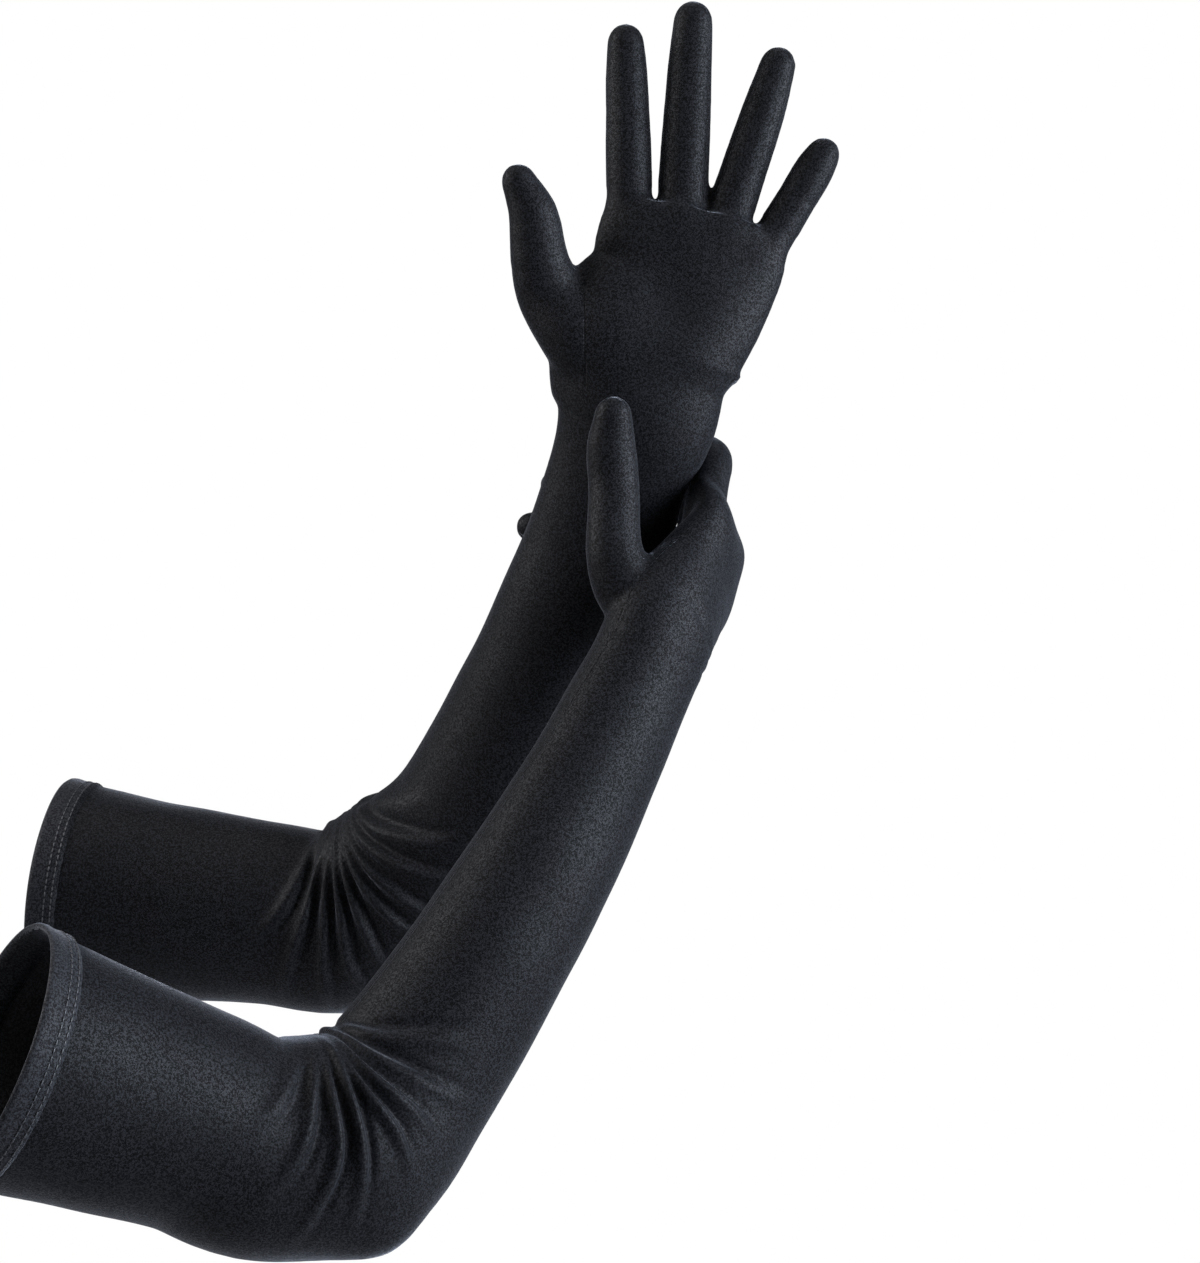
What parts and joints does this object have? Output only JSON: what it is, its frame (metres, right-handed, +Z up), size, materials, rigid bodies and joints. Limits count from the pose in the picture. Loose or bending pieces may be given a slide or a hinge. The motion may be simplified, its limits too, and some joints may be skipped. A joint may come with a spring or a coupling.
{
  "type": "opera gloves",
  "caption": "Pair of long stretch-satin opera gloves in their worn pose, one hand open and the other closed round its wrist, elbows bent.",
  "frame": {"origin": "centre of the left glove's arm opening", "axes": "+Z up along the raised fingers, -Y toward the viewer of the open palm, +X from the arm openings toward the hands"},
  "size_m": [0.354, 0.3682, 0.4904],
  "materials": {
    "satin": "black stretch satin, broad soft sheen",
    "gusset_satin": "the same satin cut as narrow strips",
    "hem_satin": "folded double edge",
    "sewing_thread": "black polyester thread"
  },
  "bodies": {
    "left_forearm": {"left_forearm_back": "satin", "left_forearm_palm": "satin"},
    "left_hand": {"left_gusset_index_middle": "gusset_satin", "left_gusset_middle_ring": "gusset_satin", "left_gusset_ring_little": "gusset_satin", "left_hand_back": "satin", "left_hand_palm": "satin"},
    "left_upper_arm": {"left_hem_band": "hem_satin", "left_hem_stitch_inner": "sewing_thread", "left_hem_stitch_outer": "sewing_thread", "left_upper_sleeve_back": "satin", "left_upper_sleeve_palm": "satin"},
    "left_index_base": {"left_index_base": "satin"},
    "left_index_tip": {"left_index_tip": "satin"},
    "left_little_base": {"left_little_base": "satin"},
    "left_little_tip": {"left_little_tip": "satin"},
    "left_middle_base": {"left_middle_base": "satin"},
    "left_middle_tip": {"left_middle_tip": "satin"},
    "left_ring_base": {"left_ring_base": "satin"},
    "left_ring_tip": {"left_ring_tip": "satin"},
    "left_thumb_base": {"left_thumb_base": "satin"},
    "left_thumb_tip": {"left_thumb_tip": "satin"},
    "right_forearm": {"right_forearm_back": "satin", "right_forearm_palm": "satin"},
    "right_hand": {"right_gusset_index_middle": "gusset_satin", "right_gusset_middle_ring": "gusset_satin", "right_gusset_ring_little": "gusset_satin", "right_hand_back": "satin", "right_hand_palm": "satin"},
    "right_upper_arm": {"right_hem_band": "hem_satin", "right_hem_stitch_inner": "sewing_thread", "right_hem_stitch_outer": "sewing_thread", "right_upper_sleeve_back": "satin", "right_upper_sleeve_palm": "satin"},
    "right_index_base": {"right_index_base": "satin"},
    "right_index_tip": {"right_index_tip": "satin"},
    "right_little_base": {"right_little_base": "satin"},
    "right_little_tip": {"right_little_tip": "satin"},
    "right_middle_base": {"right_middle_base": "satin"},
    "right_middle_tip": {"right_middle_tip": "satin"},
    "right_ring_base": {"right_ring_base": "satin"},
    "right_ring_tip": {"right_ring_tip": "satin"},
    "right_thumb_base": {"right_thumb_base": "satin"},
    "right_thumb_tip": {"right_thumb_tip": "satin"}
  },
  "joints": [
    {"name": "left_elbow", "type": "hinge", "parent": "left_upper_arm", "child": "left_forearm", "pos_m": [0.13338, -0.03228, 0.04089], "axis": [-0.1084, -0.9212, -0.3737], "range_deg": [0, 35]},
    {"name": "left_wrist", "type": "hinge", "parent": "left_forearm", "child": "left_hand", "pos_m": [0.26818, -0.09179, 0.20576], "axis": [-0.9593, 0, 0.2824], "range_deg": [0, 25]},
    {"name": "right_wrist", "type": "hinge", "parent": "right_hand", "child": "right_forearm", "pos_m": [0.29586, -0.15597, 0.11299], "axis": [-0.4001, -0.6068, 0.6868], "range_deg": [0, 15]},
    {"name": "right_elbow", "type": "hinge", "parent": "right_forearm", "child": "right_upper_arm", "pos_m": [0.16504, -0.2119, -0.11355], "axis": [0.4641, -0.885, 0.0357], "range_deg": [0, 40]},
    {"name": "left_index_knuckle", "type": "hinge", "parent": "left_hand", "child": "left_index_base", "pos_m": [0.2633, -0.1244, 0.29617], "axis": [0.9998, 0, 0.02], "range_deg": [0, 60]},
    {"name": "left_index_joint", "type": "hinge", "parent": "left_index_base", "child": "left_index_tip", "pos_m": [0.26281, -0.12449, 0.3205], "axis": [0.9998, 0, 0.02], "range_deg": [0, 54]},
    {"name": "left_middle_knuckle", "type": "hinge", "parent": "left_hand", "child": "left_middle_base", "pos_m": [0.28573, -0.12482, 0.29352], "axis": [0.9985, 0, -0.0549], "range_deg": [0, 60]},
    {"name": "left_middle_joint", "type": "hinge", "parent": "left_middle_base", "child": "left_middle_tip", "pos_m": [0.2873, -0.125, 0.32207], "axis": [0.9985, 0, -0.0549], "range_deg": [0, 54]},
    {"name": "left_ring_knuckle", "type": "hinge", "parent": "left_hand", "child": "left_ring_base", "pos_m": [0.30638, -0.12425, 0.28857], "axis": [0.9578, 0, -0.2875], "range_deg": [0, 60]},
    {"name": "left_ring_joint", "type": "hinge", "parent": "left_ring_base", "child": "left_ring_tip", "pos_m": [0.31349, -0.12433, 0.31228], "axis": [0.9578, 0, -0.2873], "range_deg": [0, 54]},
    {"name": "left_little_knuckle", "type": "hinge", "parent": "left_hand", "child": "left_little_base", "pos_m": [0.32454, -0.12312, 0.28034], "axis": [0.8727, 0, -0.4882], "range_deg": [0, 60]},
    {"name": "left_little_joint", "type": "hinge", "parent": "left_little_base", "child": "left_little_tip", "pos_m": [0.33211, -0.12299, 0.29387], "axis": [0.8726, 0, -0.4885], "range_deg": [0, 54]},
    {"name": "right_index_knuckle", "type": "hinge", "parent": "right_hand", "child": "right_index_base", "pos_m": [0.30896, -0.07703, 0.18793], "axis": [-0.0669, 0.1388, -0.9881], "range_deg": [0, 15]},
    {"name": "right_index_joint", "type": "hinge", "parent": "right_index_base", "child": "right_index_tip", "pos_m": [0.28093, -0.06389, 0.19078], "axis": [-0.1061, 0.0465, -0.9933], "range_deg": [0, 12]},
    {"name": "right_middle_knuckle", "type": "hinge", "parent": "right_hand", "child": "right_middle_base", "pos_m": [0.30219, -0.06783, 0.16942], "axis": [-0.0639, 0.1337, -0.989], "range_deg": [0, 15]},
    {"name": "right_middle_joint", "type": "hinge", "parent": "right_middle_base", "child": "right_middle_tip", "pos_m": [0.27308, -0.0539, 0.17229], "axis": [-0.1041, 0.045, -0.9935], "range_deg": [0, 12]},
    {"name": "right_ring_knuckle", "type": "hinge", "parent": "right_hand", "child": "right_ring_base", "pos_m": [0.29491, -0.06033, 0.15138], "axis": [-0.0609, 0.1324, -0.9893], "range_deg": [0, 15]},
    {"name": "right_ring_joint", "type": "hinge", "parent": "right_ring_base", "child": "right_ring_tip", "pos_m": [0.26492, -0.04617, 0.15426], "axis": [-0.1023, 0.0436, -0.9938], "range_deg": [0, 12]},
    {"name": "right_little_knuckle", "type": "hinge", "parent": "right_hand", "child": "right_little_base", "pos_m": [0.28787, -0.05452, 0.1348], "axis": [-0.0581, 0.1337, -0.9893], "range_deg": [0, 15]},
    {"name": "right_little_joint", "type": "hinge", "parent": "right_little_base", "child": "right_little_tip", "pos_m": [0.25706, -0.04051, 0.13771], "axis": [-0.1001, 0.042, -0.9941], "range_deg": [0, 12]},
    {"name": "left_thumb_root", "type": "hinge", "parent": "left_hand", "child": "left_thumb_base", "pos_m": [0.23086, -0.13305, 0.2491], "axis": [0.8532, 0.2272, 0.4694], "range_deg": [0, 30]},
    {"name": "left_thumb_joint", "type": "hinge", "parent": "left_thumb_base", "child": "left_thumb_tip", "pos_m": [0.223, -0.13816, 0.2688], "axis": [0.9438, 0.2907, 0.1571], "range_deg": [0, 27]},
    {"name": "right_thumb_root", "type": "hinge", "parent": "right_hand", "child": "right_thumb_base", "pos_m": [0.25737, -0.15893, 0.14676], "axis": [1, 0, 0.0072], "range_deg": [0, 20]},
    {"name": "right_thumb_joint", "type": "hinge", "parent": "right_thumb_base", "child": "right_thumb_tip", "pos_m": [0.25715, -0.15229, 0.16998], "axis": [0.9994, 0, 0.0333], "range_deg": [0, 16]},
    {"name": "grip_slide", "type": "slide", "parent": "left_forearm", "child": "right_hand", "axis": [1, 0, 0], "range_m": [0, 0.09]}
  ],
  "couplings": [
    {"joint": "left_index_joint", "follows": "left_index_knuckle", "ratio": 0.9},
    {"joint": "left_middle_joint", "follows": "left_middle_knuckle", "ratio": 0.9},
    {"joint": "left_ring_joint", "follows": "left_ring_knuckle", "ratio": 0.9},
    {"joint": "left_little_joint", "follows": "left_little_knuckle", "ratio": 0.9},
    {"joint": "right_index_joint", "follows": "right_index_knuckle", "ratio": 0.8},
    {"joint": "right_middle_joint", "follows": "right_middle_knuckle", "ratio": 0.8},
    {"joint": "right_ring_joint", "follows": "right_ring_knuckle", "ratio": 0.8},
    {"joint": "right_little_joint", "follows": "right_little_knuckle", "ratio": 0.8},
    {"joint": "left_thumb_joint", "follows": "left_thumb_root", "ratio": 0.9},
    {"joint": "right_thumb_joint", "follows": "right_thumb_root", "ratio": 0.8}
  ]
}
